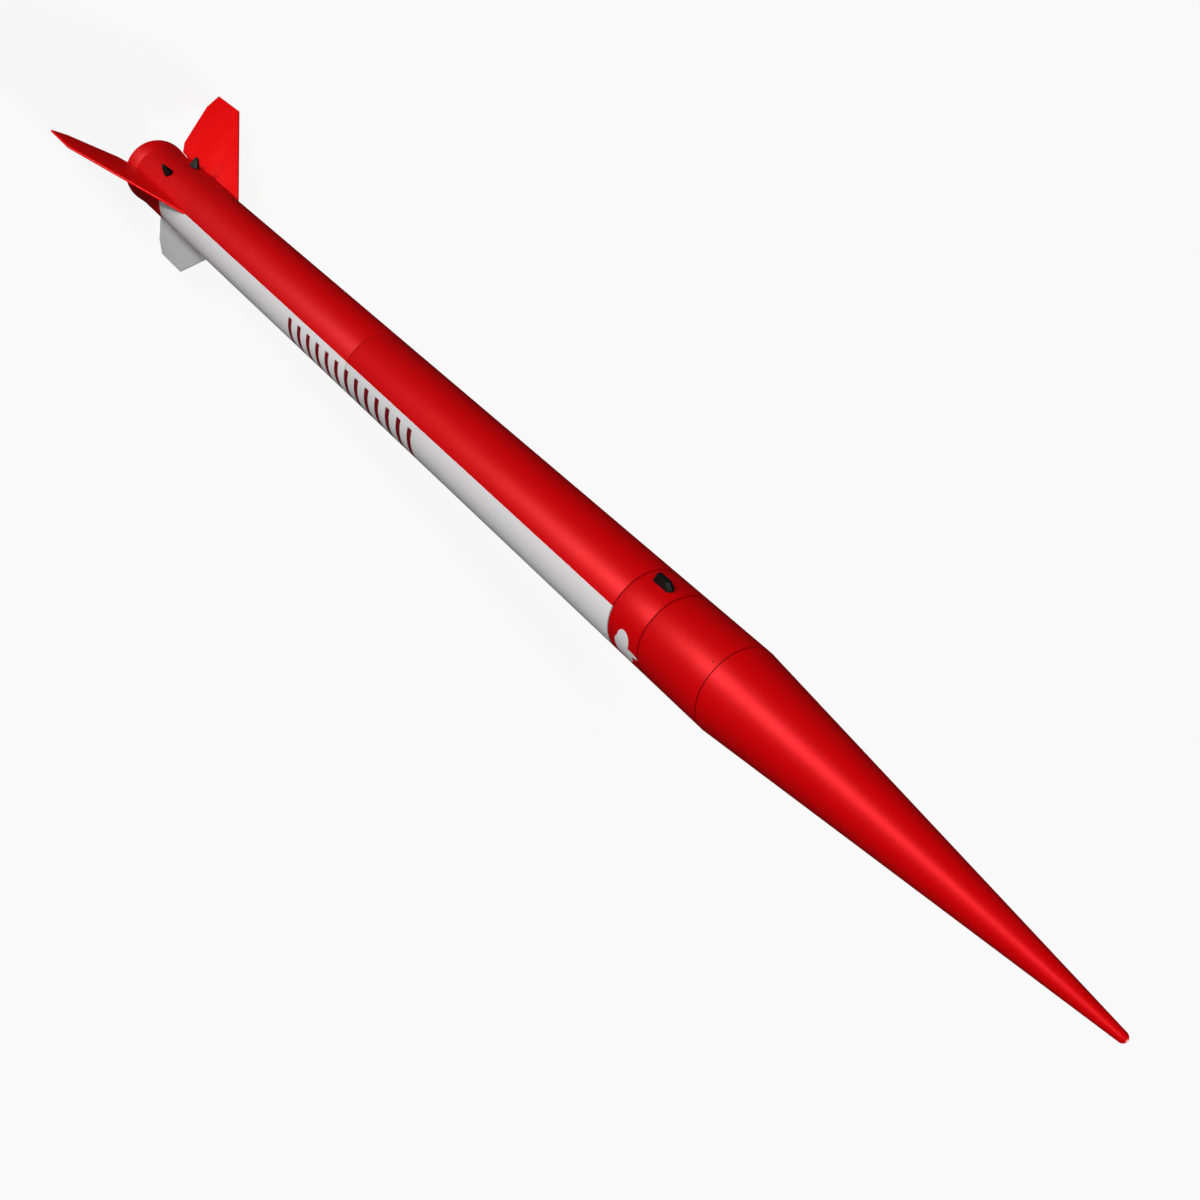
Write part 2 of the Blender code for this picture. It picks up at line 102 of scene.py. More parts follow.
class Paint:
    """A Principled material with short calls for the nodes that feed it."""

    def __init__(self, name, colour, roughness, metallic=0.0, **sockets):
        self.material = bpy.data.materials.new(name)
        self.material.use_nodes = True
        self.tree = self.material.node_tree
        self.shader = self.tree.nodes["Principled BSDF"]
        self.set("Base Color", (*colour, 1))
        self.set("Roughness", roughness)
        self.set("Metallic", metallic)
        for socket, value in sockets.items():
            self.set(socket.replace("_", " "), value)
        coordinates = self.tree.nodes.new("ShaderNodeTexCoord")
        self.here = coordinates.outputs["Object"]
        self.axes = None

    def set(self, socket, value):
        if isinstance(value, bpy.types.NodeSocket):
            self.tree.links.new(value, self.shader.inputs[socket])
        else:
            self.shader.inputs[socket].default_value = value

    def feed(self, socket, value):
        if isinstance(value, bpy.types.NodeSocket):
            self.tree.links.new(value, socket)
        else:
            socket.default_value = value

    def math(self, operation, *values):
        node = self.tree.nodes.new("ShaderNodeMath")
        node.operation = operation
        for socket, value in zip(node.inputs, values):
            self.feed(socket, value)
        return node.outputs[0]

    def plus(self, first, second):
        return self.math("ADD", first, second)

    def minus(self, first, second):
        return self.math("SUBTRACT", first, second)

    def times(self, first, second):
        return self.math("MULTIPLY", first, second)

    def step(self, value, edge, width):
        """0 below the edge, 1 above it, over the width."""
        node = self.tree.nodes.new("ShaderNodeMapRange")
        node.interpolation_type = "SMOOTHSTEP"
        self.feed(node.inputs["Value"], value)
        node.inputs["From Min"].default_value = edge - width / 2
        node.inputs["From Max"].default_value = edge + width / 2
        return node.outputs["Result"]

    def between(self, value, low, high, width):
        """1 from low to high, 0 outside, over the width at each end."""
        return self.times(self.step(value, low, width), self.minus(1.0, self.step(value, high, width)))

    def noise(self, scale, detail=3.0, stretch=(1, 1, 1), roughness=0.5):
        mapping = self.tree.nodes.new("ShaderNodeMapping")
        mapping.inputs["Scale"].default_value = stretch
        self.tree.links.new(self.here, mapping.inputs["Vector"])
        node = self.tree.nodes.new("ShaderNodeTexNoise")
        node.inputs["Scale"].default_value = scale
        node.inputs["Detail"].default_value = detail
        node.inputs["Roughness"].default_value = roughness
        self.tree.links.new(mapping.outputs[0], node.inputs["Vector"])
        return node.outputs["Fac"]

    def mix(self, share, first, second):
        node = self.tree.nodes.new("ShaderNodeMix")
        node.data_type = "RGBA"
        self.feed(node.inputs["Factor"], share)
        for socket, value in zip(node.inputs[6:8], (first, second)):
            self.feed(socket, value if isinstance(value, bpy.types.NodeSocket) else (*value, 1))
        return node.outputs[2]

    def scale(self, value, low, high):
        """A 0 to 1 value spread from low to high."""
        return self.math("MULTIPLY_ADD", value, high - low, low)

    def bump(self, height, distance):
        node = self.tree.nodes.new("ShaderNodeBump")
        node.inputs["Strength"].default_value = 1.0
        node.inputs["Distance"].default_value = distance
        self.feed(node.inputs["Height"], height)
        self.set("Normal", node.outputs["Normal"])

    def place(self):
        """(x and y from the body axis, z) as sockets."""
        if self.axes is None:
            node = self.tree.nodes.new("ShaderNodeSeparateXYZ")
            self.tree.links.new(self.here, node.inputs[0])
            x = self.minus(node.outputs[0], AXIS.x)
            y = self.minus(node.outputs[1], AXIS.y)
            self.axes = (x, y, node.outputs[2])
        return self.axes

    def toward(self, angle):
        """Distance from the axis along a horizontal direction, in degrees."""
        x, y, _ = self.place()
        turn = math.radians(angle)
        return self.plus(self.times(x, math.cos(turn)), self.times(y, math.sin(turn)))

    def radius(self):
        x, y, _ = self.place()
        return self.math("SQRT", self.plus(self.times(x, x), self.times(y, y)))

    def turn(self):
        """The angle about the axis, in radians."""
        x, y, _ = self.place()
        return self.math("ARCTAN2", y, x)


RED = (0.66, 0.0006, 0.0022)
DEEP_RED = (0.58, 0.0005, 0.0018)
FIN_RED = (0.92, 0.0008, 0.0015)
FIN_DEEP_RED = (0.84, 0.0007, 0.0012)
WHITE = (0.84, 0.84, 0.845)
RED_SHEEN = (1.0, 0.05, 0.06, 1)
LETTER_RED = (0.20, 0.004, 0.010)
KRAFT = (0.46, 0.31, 0.18)
DARK_KRAFT = (0.33, 0.21, 0.11)
BLACK = (0.0025, 0.0025, 0.003)
# Painted shadow: the dark red drawn along the seams, where the gaps between the parts lie in shade.
SEAM_SHADOW_RED = (0.16, 0.0, 0.001)
PAINT_ROUGHNESS = (0.37, 0.46)
RED_SHARE = 0.72

# How dark the painted shadow along each seam is drawn.
SEAM_SHADE = 0.6
MIDDLE_SEAM_SHADE = 0.3
FLARE_SEAM_SHADE = 0.25

# The white stripe runs along the body between two lines, and the red bars stand in it.
STRIPE_FROM = -30.0
STRIPE_TO = 38.0
STRIPE_REAR = station(1.49)
BARS_FROM, BARS_TO = station(6.35), station(10.15)
BAR_PITCH = 0.292 * DIAMETER
BAR_SHARE = 0.36
BAR_MIDDLE = 4.0
BAR_HALF_HEIGHT = 24.0


def sector(paint, middle, half, width=0.00008):
    """1 inside a sector of the skin: within half degrees of the middle one."""
    along = paint.math("DIVIDE", paint.toward(middle), paint.radius())
    return paint.step(along, math.cos(math.radians(half)), width / RADIUS)


def white_stripe(paint):
    """The stripe on the body tubes, and the bars in it."""
    _, _, z = paint.place()
    middle, half = (STRIPE_FROM + STRIPE_TO) / 2, (STRIPE_TO - STRIPE_FROM) / 2
    stripe = paint.times(sector(paint, middle, half), paint.step(z, STRIPE_REAR, 0.00008))
    row = paint.between(z, BARS_FROM, BARS_TO, 0.0001)
    phase = paint.math("FRACT", paint.math("DIVIDE", paint.minus(z, BARS_FROM), BAR_PITCH))
    bar = paint.between(phase, 0.5 - BAR_SHARE / 2, 0.5 + BAR_SHARE / 2, 0.02)
    bars = paint.times(paint.times(bar, row), sector(paint, BAR_MIDDLE, BAR_HALF_HEIGHT))
    return stripe, bars


def ring_tab(paint):
    """The stripe's front end on the lug ring: a rounded tab that runs out into a point."""
    _, _, z = paint.place()
    arc = paint.times(paint.turn(), RADIUS)
    white = None
    for centre_z, centre_angle, half_z, half_arc in (
        (14.680, -4, 0.100, 0.105),
        (14.655, 8, 0.125, 0.130),
        (14.690, 14, 0.150, 0.110),
        (14.790, 7, 0.165, 0.028),
    ):
        dz = paint.math("DIVIDE", paint.minus(z, station(centre_z)), half_z * DIAMETER)
        da = paint.minus(arc, math.radians(centre_angle) * RADIUS)
        da = paint.math("DIVIDE", da, half_arc * DIAMETER)
        away = paint.plus(paint.times(dz, dz), paint.times(da, da))
        inside = paint.minus(1.0, paint.step(away, 1.0, 0.05))
        white = inside if white is None else paint.math("MAXIMUM", white, inside)
    return white


def sprayed_red(name):
    """Glossy red paint with its orange peel, and the colour and roughness to build on."""
    paint = Paint(name, RED, 0.36, Specular_IOR_Level=0.8, Specular_Tint=RED_SHEEN)
    colour = paint.mix(RED_SHARE, paint.mix(paint.noise(14, 4), DEEP_RED, RED), RED)
    roughness = paint.scale(paint.noise(45, 5, roughness=0.6), *PAINT_ROUGHNESS)
    fine, coarse = paint.noise(900, 2), paint.noise(60, 2)
    paint.bump(paint.plus(fine, paint.times(coarse, 2.0)), 0.00002)
    return paint, colour, roughness


def red_paint(name, stripe=False, tab=False, bare=None, seam_shadows=()):
    """The sprayed red, with the stripe, the ring's tab, painted shadow along each seam and bare stock inside
    the skin where asked.
    """
    paint, colour, roughness = sprayed_red(name)
    if stripe:
        white, bars = white_stripe(paint)
        chalk = paint.mix(paint.noise(30, 4), tuple(0.96 * c for c in WHITE), WHITE)
        colour = paint.mix(white, colour, chalk)
        colour = paint.mix(bars, colour, LETTER_RED)
    if tab:
        colour = paint.mix(ring_tab(paint), colour, WHITE)
    _, _, z = paint.place()
    # Painted shadow: a dark red band over each seam's gap, as deep as its strength.
    for seam, strength in seam_shadows:
        away = paint.math("ABSOLUTE", paint.minus(z, seam))
        near = paint.minus(1.0, paint.step(away, 0.00055, 0.0006))
        colour = paint.mix(paint.times(near, strength), colour, SEAM_SHADOW_RED)
    if bare:
        inside = paint.minus(1.0, paint.step(paint.radius(), bare[0], 0.0001))
        colour = paint.mix(inside, colour, bare[1])
        roughness = paint.math("MAXIMUM", roughness, paint.times(inside, 0.8))
    paint.set("Base Color", colour)
    paint.set("Roughness", roughness)
    return paint.material


def nose_paint():
    """Red down to the seam, then the cone's bare styrene on the shoulder and inside."""
    paint, colour, roughness = sprayed_red("nose_paint")
    _, _, z = paint.place()
    ragged = paint.plus(z, paint.scale(paint.noise(350, 2), -0.0005, 0.0005))
    below = paint.minus(1.0, paint.step(ragged, NOSE_SEAM - 0.0006, 0.0006))
    grain = paint.mix(paint.noise(200, 3), (0.66, 0.65, 0.61), (0.74, 0.73, 0.69))
    colour = paint.mix(below, colour, grain)
    paint.set("Base Color", colour)
    paint.set("Roughness", roughness)
    return paint.material


def fin_paint(name, light, dark):
    """Paint over sealed plywood: the grain just shows as long shallow lines."""
    paint = Paint(name, light, 0.38, Specular_IOR_Level=0.5, Specular_Tint=(*light, 1))
    grain = paint.noise(70, 4, stretch=(1, 1, 0.06))
    colour = paint.mix(grain, dark, light)
    paint.set("Base Color", paint.mix(0.8, colour, light))
    paint.set("Roughness", paint.scale(paint.noise(60, 4), 0.33, 0.44))
    height = paint.plus(paint.times(grain, 1.5), paint.noise(800, 2))
    paint.bump(height, 0.000025)
    return paint.material


def moulded(name, colour, roughness=0.45, grain=1500):
    paint = Paint(name, colour, roughness, Specular_IOR_Level=0.2)
    lighter = tuple(c * 1.6 + 0.0005 for c in colour)
    paint.set("Base Color", paint.mix(paint.noise(120, 4), colour, lighter))
    paint.set("Roughness", paint.scale(paint.noise(90, 3), roughness - 0.06, roughness + 0.10))
    paint.bump(paint.noise(grain, 3), 0.00004)
    return paint.material


def card(name, light=KRAFT, dark=DARK_KRAFT, pitch=0.055):
    """Spiral-wound kraft card: fibres, and the line where one turn of the strip meets the next."""
    paint = Paint(name, light, 0.85, Specular_IOR_Level=0.2)
    _, _, z = paint.place()
    turns = paint.math("DIVIDE", paint.turn(), 2 * math.pi)
    spiral = paint.math("FRACT", paint.plus(paint.math("DIVIDE", z, pitch), turns))
    joint = paint.between(spiral, 0.0, 0.012, 0.006)
    fibres = paint.noise(900, 4, stretch=(1, 1, 0.25))
    colour = paint.mix(fibres, dark, light)
    paint.set("Base Color", paint.mix(paint.times(joint, 0.6), colour, tuple(0.5 * c for c in dark)))
    paint.set("Roughness", paint.scale(paint.noise(300, 3), 0.78, 0.92))
    paint.bump(paint.minus(fibres, joint), 0.00008)
    return paint.material


def plywood(name):
    """Laser-cut ply: straight grain on the faces, and edges charred by the cut."""
    paint = Paint(name, (0.62, 0.44, 0.25), 0.7, Specular_IOR_Level=0.25)
    grain = paint.noise(160, 5, stretch=(1, 0.08, 1))
    rings = paint.noise(40, 3, stretch=(1, 0.15, 1))
    colour = paint.mix(grain, (0.47, 0.30, 0.15), (0.68, 0.50, 0.30))
    colour = paint.mix(paint.times(rings, 0.4), colour, (0.40, 0.25, 0.12))
    charred = paint.step(paint.radius(), SHOULDER - 0.0004, 0.0003)
    paint.set("Base Color", paint.mix(charred, colour, (0.09, 0.05, 0.03)))
    paint.set("Roughness", paint.scale(rings, 0.6, 0.8))
    paint.bump(grain, 0.00008)
    return paint.material


def pressed(name, light, dark, size=1200):
    """Pressed powder or clay: speckled and rough."""
    paint = Paint(name, light, 0.92, Specular_IOR_Level=0.15)
    speckle = paint.noise(size, 5, roughness=0.7)
    paint.set("Base Color", paint.mix(speckle, dark, light))
    paint.set("Roughness", paint.scale(paint.noise(200, 2), 0.85, 0.97))
    paint.bump(speckle, 0.00015)
    return paint.material


def metal(name, colour, roughness=0.28):
    paint = Paint(name, colour, roughness, 1.0)
    brushed = paint.noise(700, 3, stretch=(1, 1, 0.1))
    paint.set("Base Color", paint.mix(paint.noise(150, 3), tuple(0.8 * c for c in colour), colour))
    paint.set("Roughness", paint.scale(brushed, roughness - 0.08, roughness + 0.14))
    paint.bump(brushed, 0.00001)
    return paint.material


def film(name):
    """Thin canopy film with orange and white gores and a creased sheen."""
    paint = Paint(name, (0.85, 0.24, 0.03), 0.5, Sheen_Weight=0.15, Specular_IOR_Level=0.45)
    gore = paint.math("FRACT", paint.times(paint.turn(), 3 / math.pi))
    creases = paint.noise(130, 5, stretch=(1, 1, 0.35))
    colour = paint.mix(paint.step(gore, 0.5, 0.03), (0.85, 0.24, 0.03), (0.82, 0.82, 0.80))
    paint.set("Base Color", paint.mix(paint.times(creases, 0.35), colour, (0.45, 0.14, 0.03)))
    paint.set("Roughness", paint.scale(creases, 0.35, 0.6))
    paint.bump(creases, 0.0006)
    return paint.material


def braid(name, colour, pitch=0.0022):
    """Braided cord: even ridges across it, broken up by noise."""
    paint = Paint(name, colour, 0.85, Sheen_Weight=0.3, Specular_IOR_Level=0.2)
    _, _, z = paint.place()
    wave = paint.math("SINE", paint.times(z, 2 * math.pi / pitch))
    weave = paint.times(wave, paint.noise(1500, 2))
    paint.set("Base Color", paint.mix(paint.noise(1300, 4), tuple(0.6 * c for c in colour), colour))
    paint.set("Roughness", paint.scale(paint.noise(500, 2), 0.75, 0.95))
    paint.bump(weave, 0.0003)
    return paint.material


def tissue(name):
    paint = Paint(name, (0.80, 0.80, 0.77), 0.95, Sheen_Weight=0.2, Specular_IOR_Level=0.1)
    creases = paint.noise(220, 6, roughness=0.65)
    paint.set("Base Color", paint.mix(creases, (0.66, 0.66, 0.62), (0.86, 0.86, 0.83)))
    paint.set("Roughness", paint.scale(paint.noise(600, 3), 0.9, 1.0))
    paint.bump(creases, 0.0008)
    return paint.material


# ---------------------------------------------------------------- shapes


def linked(name, data):
    """A new object in the scene that holds the data."""
    made = bpy.data.objects.new(name, data)
    bpy.context.scene.collection.objects.link(made)
    return made


def dressed(name, mesh, look):
    """The mesh as an object with one material."""
    mesh.materials.clear()
    mesh.materials.append(look)
    return linked(name, mesh)


def add(name, mesh, look, body, slot, *nodes):
    """Makes the object, hangs it on the body that it rides on, and hides the CAD nodes that it stands for.
    The slot is not used.
    """
    obj = dressed(name, mesh, look)
    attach(obj, body)
    if nodes:
        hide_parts(*nodes)
    return obj


def smooth(mesh, angle=38):
    mesh.shade_smooth()
    mesh.set_sharp_from_angle(angle=math.radians(angle))


def rounded(profile, radius, steps=3):
    """The closed profile with a small arc at each corner. A corner's third number is its own reach."""
    result = []
    count = len(profile)
    for i, corner in enumerate(profile):
        here = Vector(corner[:2])
        reach = corner[2] if len(corner) > 2 else radius
        before = Vector(profile[i - 1][:2]) - here
        after = Vector(profile[(i + 1) % count][:2]) - here
        reach = min(reach, 0.45 * before.length, 0.45 * after.length)
        if reach <= 0:
            result.append(tuple(here))
            continue
        start = here + before.normalized() * reach
        end = here + after.normalized() * reach
        for step in range(steps + 1):
            t = step / steps
            result.append(tuple(start * (1 - t) ** 2 + here * 2 * t * (1 - t) + end * t * t))
    return result


def made_mesh(shape, name):
    """The bmesh as a mesh, with the bmesh freed."""
    mesh = bpy.data.meshes.new(name)
    shape.to_mesh(mesh)
    shape.free()
    return mesh


def belt(shape, first, second):
    """The faces between two closed loops of vertices."""
    for i in range(len(first)):
        j = (i + 1) % len(first)
        shape.faces.new((first[i], first[j], second[j], second[i]))


def lattice(shape, grid):
    """The faces of an open grid of vertices."""
    for first, second in zip(grid, grid[1:]):
        for i in range(len(first) - 1):
            shape.faces.new((first[i], second[i], second[i + 1], first[i + 1]))


def swung(angle):
    """Moves a shape made at the origin onto the body axis, turned by an angle in degrees."""
    return Matrix.Translation(AXIS) @ Matrix.Rotation(math.radians(angle), 4, "Z")


def turned_mesh(name, profile, closed, steps):
    """Turns a (radius, height) profile about the body axis."""
    shape = bmesh.new()
    verts = [shape.verts.new((radius, 0, height)) for radius, height in profile]
    edges = [shape.edges.new(pair) for pair in zip(verts, verts[1:])]
    if closed:
        edges.append(shape.edges.new((verts[-1], verts[0])))
    bmesh.ops.spin(
        shape,
        geom=verts + edges,
        axis=(0, 0, 1),
        cent=(0, 0, 0),
        angle=2 * math.pi,
        steps=steps,
        use_merge=True,
    )
    bmesh.ops.remove_doubles(shape, verts=shape.verts, dist=0.000001)
    bmesh.ops.recalc_face_normals(shape, faces=shape.faces)
    mesh = made_mesh(shape, name)
    mesh.transform(Matrix.Translation(AXIS))
    smooth(mesh)
    return mesh


def ring_profile(outer, inner, low, high, edge=0.00012):
    return rounded([(outer, high), (outer, low), (inner, low), (inner, high)], edge)


RIM_ANGLE = 1.2
SAME_SIDE = 1e-6


def plate_mesh(name, outline, thickness, turn, bevel, segments):
    """A plate standing on edge, its outline in (distance from the axis, height), with rounded edges."""
    shape = bmesh.new()
    verts = [shape.verts.new((radius, -thickness / 2, height)) for radius, height in outline]
    face = shape.faces.new(verts)
    moved = bmesh.ops.extrude_face_region(shape, geom=[face])["geom"]
    far_side = [v for v in moved if isinstance(v, bmesh.types.BMVert)]
    bmesh.ops.translate(shape, vec=(0, thickness, 0), verts=far_side)
    bmesh.ops.recalc_face_normals(shape, faces=shape.faces)
    rims = [
        e
        for e in shape.edges
        if len(e.link_faces) == 2
        and e.calc_face_angle(0) > RIM_ANGLE
        and abs(e.verts[0].co.y - e.verts[1].co.y) < SAME_SIDE
    ]
    bmesh.ops.bevel(shape, geom=rims, offset=bevel, segments=segments, profile=0.5, affect="EDGES")
    mesh = made_mesh(shape, name)
    mesh.transform(swung(turn))
    smooth(mesh, 30)
    return mesh


def strand(name, points, radius, resolution=4):
    """A round wire or cord as a mesh."""
    curve = bpy.data.curves.new(name, "CURVE")
    curve.dimensions = "3D"
    curve.bevel_depth = radius
    curve.bevel_resolution = resolution
    curve.use_fill_caps = True
    spline = curve.splines.new("POLY")
    spline.points.add(len(points) - 1)
    for point, at in zip(spline.points, points):
        point.co = (*at, 1)
    carrier = linked(name + "_carrier", curve)
    mesh = bpy.data.meshes.new_from_object(carrier.evaluated_get(bpy.context.evaluated_depsgraph_get()))
    bpy.data.objects.remove(carrier, do_unlink=True)
    shape = bmesh.new()
    shape.from_mesh(mesh)
    bmesh.ops.remove_doubles(shape, verts=shape.verts, dist=0.000002)
    bmesh.ops.recalc_face_normals(shape, faces=shape.faces)
    shape.to_mesh(mesh)
    shape.free()
    smooth(mesh, 60)
    return mesh


def at_turn(turn, radius, height):
    """A point at an angle about the body axis, in radians."""
    return Vector((AXIS.x + radius * math.cos(turn), AXIS.y + radius * math.sin(turn), height))


def around(angle, radius, height):
    """A point at an angle about the body axis, in degrees."""
    return at_turn(math.radians(angle), radius, height)


def turned_piece(name, node, profile, look, body, slot, closed=True, steps=STEPS):
    return add(name, turned_mesh(name, profile, closed, steps), look, body, slot, node)


# ---------------------------------------------------------------- airframe


def body_tubes():
    inner = RADIUS - TUBE_WALL
    bare = (inner + 0.0001, KRAFT)
    # Painted shadow along the middle seam and the ring seam, with how dark each is.
    seam_shadows = ((MIDDLE_SEAM + GAP / 2, MIDDLE_SEAM_SHADE), (RING_SEAM + GAP / 2, SEAM_SHADE))
    paint = red_paint("tube_paint", stripe=True, bare=bare, seam_shadows=seam_shadows)
    upper = ring_profile(RADIUS, inner, upper_low.z, upper_high.z)
    turned_piece("upper_tube", "upper_body_tube", upper, paint, "airframe", "red_card")
    lower = ring_profile(RADIUS, inner, lower_low.z, lower_high.z)
    turned_piece("lower_tube", "lower_body_tube", lower, paint, "airframe", "red_card")
    coupler_low, coupler_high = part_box("body_coupler")
    profile = ring_profile(SHOULDER, SHOULDER - PLASTIC_WALL, coupler_low.z, coupler_high.z)
    turned_piece("coupler", "body_coupler", profile, card("coupler_card"), "airframe", "kraft_card")


def tail_skirt():
    inner = SHOULDER - PLASTIC_WALL
    profile = [
        (SHOULDER, skirt_high.z),
        (SHOULDER, FLARE_TOP - GAP),
        (RADIUS, FLARE_TOP - GAP, 0.0002),
        (FLARE, TAIL + 0.0006),
        (FLARE - 0.0005, TAIL),
        (inner, TAIL),
        (inner, skirt_high.z),
    ]
    # Painted shadow along the seam above the flare.
    seam_shadows = ((FLARE_TOP - GAP / 2, FLARE_SEAM_SHADE),)
    paint = red_paint("skirt_paint", bare=(inner + 0.0003, (0.05, 0.05, 0.05)), seam_shadows=seam_shadows)
    turned_piece("skirt", "tail_skirt", rounded(profile, PLASTIC_EDGE), paint, "airframe", "red_plastic")


def lug_ring():
    profile = [
        (RADIUS, ring_high.z),
        (RADIUS, RING_SEAM + GAP),
        (SHOULDER, RING_SEAM + GAP),
        (SHOULDER, ring_low.z),
        (RING_BORE, ring_low.z),
        (RING_BORE, ring_high.z),
    ]
    # Painted shadow along the ring's two seams.
    seam_shadows = ((RING_SEAM + GAP / 2, SEAM_SHADE), (PAYLOAD_SEAM + GAP / 2, SEAM_SHADE))
    paint = red_paint("ring_paint", tab=True, bare=(SHOULDER + 0.0001, (0.03, 0.03, 0.03)), seam_shadows=seam_shadows)
    turned_piece("front_ring", "lug_ring", rounded(profile, PLASTIC_EDGE), paint, "airframe", "red_plastic")


FIN_TURNS = {"fin_left": -30, "fin_right": -150, "fin_white": 90}
FIN_THICKNESS = 0.0016
FIN_EDGE = 0.0007
FIN_TAB = (0.030, 0.070)
FIN_ROOT_TOP = 2.507  # in body diameters from the tail, as is the next
FLARE_HEIGHT = 0.363


def fin_outline():
    """Root edge and tab, then down to the flat foot and up to the leading edge, measured from the tail."""
    rear_root = 0.12 * DIAMETER
    flare = FLARE - (FLARE - RADIUS) * rear_root / (FLARE_HEIGHT * DIAMETER)
    root = RADIUS + GAP
    inner = MOTOR_TUBE_OUTER + GAP
    corners = [
        (root, FIN_ROOT_TOP * DIAMETER),
        (root, FIN_TAB[1]),
        (inner, FIN_TAB[1]),
        (inner, FIN_TAB[0]),
        (root, FIN_TAB[0]),
        (root, FLARE_HEIGHT * DIAMETER + GAP),
        (flare + GAP, rear_root),
        (0.66 * DIAMETER, -0.093 * DIAMETER),
        (1.37 * DIAMETER, -TAIL),
        (1.651 * DIAMETER, -TAIL),
        (1.651 * DIAMETER, 0.342 * DIAMETER),
    ]
    return [(radius, TAIL + height) for radius, height in corners]


def root_fillet(name, turn, look, slot):
    """The bead of glue along both sides of a fin's root, a hollow curve from skin to fin."""
    shape = bmesh.new()
    bead = 0.0009
    rows = 40
    low, high = FLARE_TOP + 0.0004, station(FIN_ROOT_TOP) - 0.0035
    for side in (1, -1):
        half = FIN_THICKNESS / 2 * side
        loops = []
        for row in range(rows + 1):
            t = row / rows
            height = low + (high - low) * t
            size = bead * min(1, 12 * t, 12 * (1 - t)) ** 0.5 + 0.00002
            section = [(RADIUS - 0.0001, 0), (RADIUS + GAP + size, 0)]
            for step in range(1, 5):
                a = math.pi / 2 * step / 5
                section.append((RADIUS + GAP + size - size * math.sin(a), size * (1 - math.cos(a))))
            section.append((RADIUS - 0.00008 + GAP * 0.2, size + 0.0001))
            loops.append([shape.verts.new((r, half + side * across, height)) for r, across in section])
        for first, second in zip(loops, loops[1:]):
            belt(shape, first, second)
        shape.faces.new(loops[0])
        shape.faces.new(loops[-1][::-1])
    bmesh.ops.recalc_face_normals(shape, faces=shape.faces)
    mesh = made_mesh(shape, name)
    mesh.transform(swung(turn))
    smooth(mesh, 50)
    add(name, mesh, look, "airframe", slot)


def fins():
    red = fin_paint("fin_paint_red", FIN_RED, FIN_DEEP_RED)
    white = fin_paint("fin_paint_white", WHITE, tuple(0.93 * c for c in WHITE))
    bead = fin_paint("bead_paint", RED, DEEP_RED)
    for node, turn in FIN_TURNS.items():
        look, slot = (white, "white_wood") if node == "fin_white" else (red, "red_wood")
        mesh = plate_mesh(node, fin_outline(), FIN_THICKNESS, turn, FIN_EDGE, 4)
        add("painted_" + node, mesh, look, "airframe", slot, node)
        root_fillet(node + "_fillets", turn, bead, "red_wood")


# A lug's ends, half width, height and point in body diameters, then its draft.
FRONT_LUG = (14.51, 14.83, 0.055, 0.087, 0.04, 0.65)
REAR_LUG = (1.215, 1.435, 0.070, 0.155, 0.05, 0.3)


def lug(name, node, low, high, half_width, height, point, draft, angle):
    """A black guide block with pointed ends, drafted sides and broken edges."""
    low, high = station(low), station(high)
    half = (high - low) / 2
    width = half_width * DIAMETER
    point *= DIAMETER
    top = height * DIAMETER
    outline = [(0, -half), (width, point - half), (width, half - point)]
    outline += [(-across, -along) for across, along in outline]
    shape = bmesh.new()
    base = [shape.verts.new((0, across, along)) for across, along in outline]
    face = shape.faces.new(base)
    moved = bmesh.ops.extrude_face_region(shape, geom=[face])["geom"]
    for vert in (v for v in moved if isinstance(v, bmesh.types.BMVert)):
        vert.co = (top, vert.co.y * draft, vert.co.z * draft)
    bmesh.ops.recalc_face_normals(shape, faces=shape.faces)
    bmesh.ops.bevel(shape, geom=list(shape.edges), offset=0.00015, segments=2, profile=0.6, affect="EDGES")
    mesh = made_mesh(shape, name)
    place = Matrix.Translation((RADIUS + GAP, 0, (low + high) / 2))
    mesh.transform(swung(angle) @ place)
    smooth(mesh, 30)
    add(name, mesh, moulded("lug_plastic_" + name, BLACK, 0.5), "airframe", "black_plastic", node)


def small_screw(name, height, angle, body):
    """A tiny dark pan head with a slot, on the skin beside a seam."""
    radius, flatness = 0.00042, 0.45
    slot_depth, slot_half = 0.00008, 0.00009
    shape = bmesh.new()
    bmesh.ops.create_uvsphere(shape, u_segments=20, v_segments=10, radius=radius)
    for vert in shape.verts:
        vert.co.z *= flatness
        if vert.co.z > slot_depth and abs(vert.co.y) < slot_half:
            vert.co.z -= slot_depth
    mesh = made_mesh(shape, name)
    mesh.transform(Matrix.Rotation(math.pi / 2, 4, "Y"))
    at = around(angle, RADIUS, height)
    mesh.transform(Matrix.Translation(at) @ Matrix.Rotation(math.radians(angle), 4, "Z"))
    smooth(mesh, 50)
    add(name, mesh, metal("screw_metal_" + name, (0.05, 0.02, 0.02), 0.4), body, "steel")


# ---------------------------------------------------------------- motor mount and motor


def motor_mount():
    low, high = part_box("motor_tube")
    tube = ring_profile(MOTOR_TUBE_OUTER, MOTOR_TUBE_BORE, low.z, high.z)
    stock = card("mount_card", pitch=0.04)
    turned_piece("mount_tube", "motor_tube", tube, stock, "airframe", "kraft_card", steps=SMALL_STEPS)
    ply = plywood("ring_plywood")
    for node in ("centering_ring_aft", "centering_ring_middle", "centering_ring_front"):
        low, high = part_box(node)
        outer = (high.x - low.x) / 2
        ring = ring_profile(outer, MOTOR_TUBE_OUTER + GAP, low.z, high.z, 0.0002)
        turned_piece(node.replace("centering", "ply"), node, ring, ply, "airframe", "plywood", steps=120)
    low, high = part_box("thrust_ring")
    block = ring_profile((high.x - low.x) / 2, THRUST_RING_BORE, low.z, high.z)
    stock = card("block_card")
    turned_piece("engine_block", "thrust_ring", block, stock, "airframe", "kraft_card", steps=SMALL_STEPS)


